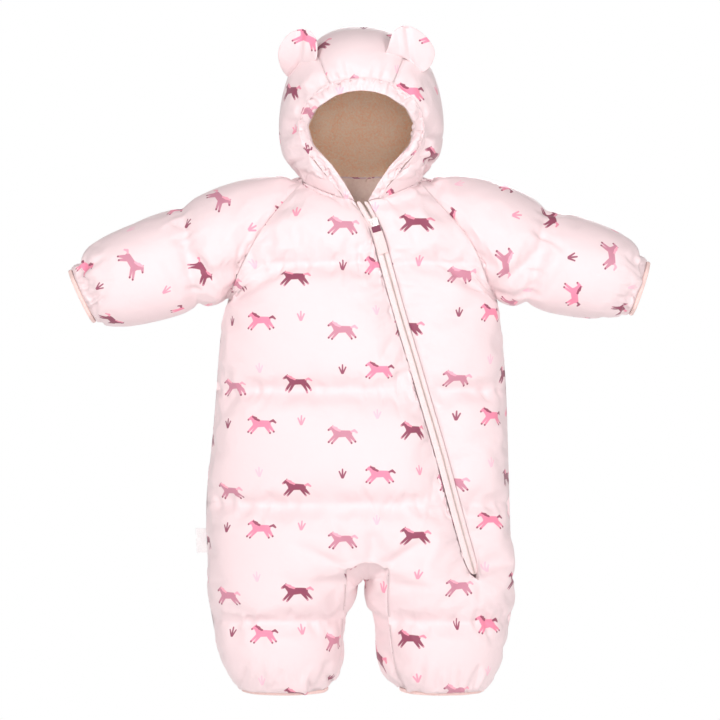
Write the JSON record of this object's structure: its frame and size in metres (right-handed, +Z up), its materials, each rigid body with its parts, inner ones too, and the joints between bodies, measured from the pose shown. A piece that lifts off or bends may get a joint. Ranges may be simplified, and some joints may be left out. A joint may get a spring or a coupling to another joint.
{
  "type": "hooded baby snowsuit, held by the wearer's neck mount",
  "caption": "Padded, hooded baby snowsuit with rounded ears, a slanting zip from neck to leg and elastic cuffs and hems, filled out as if worn.",
  "frame": {"origin": "middle of the neck at shoulder height, where the wearer's shoulders hold the suit", "axes": "+Z up towards the hood, -Y is the front with the zip, +X is the wearer's left"},
  "size_m": [0.6697, 0.1876, 0.7634],
  "materials": {
    "shell": "soft sheen",
    "fleece": "matt pile",
    "trim": "matt",
    "label": "matt",
    "moulding": "matt",
    "enamel": "gloss"
  },
  "bodies": {
    "suit": {"front": "shell", "back": "shell", "leg_gusset": "shell", "sleeve_right": "shell", "sleeve_left": "shell", "hood_side_right": "shell", "hood_side_left": "shell", "hood_centre": "shell", "hood_casing": "shell", "cuff_binding_right": "trim", "hem_binding_right": "trim", "cuff_binding_left": "trim", "hem_binding_left": "trim", "zip_tape_right": "trim", "zip_tape_left": "trim", "hood_lining": "fleece", "neck_facing": "trim", "hanging_loop": "trim", "ear_right": "shell", "ear_left": "shell", "zip_slider": "enamel", "side_label": "label"},
    "pull": {"pull_bail": "enamel", "pull_block": "moulding", "pull_tab": "trim"}
  },
  "joints": [
    {"name": "pull_hinge", "type": "hinge", "parent": "suit", "child": "pull", "pos_m": [0.01611, -0.06071, -0.03995], "axis": [-0.957, 0, -0.2901], "range_deg": [0, 150]}
  ]
}
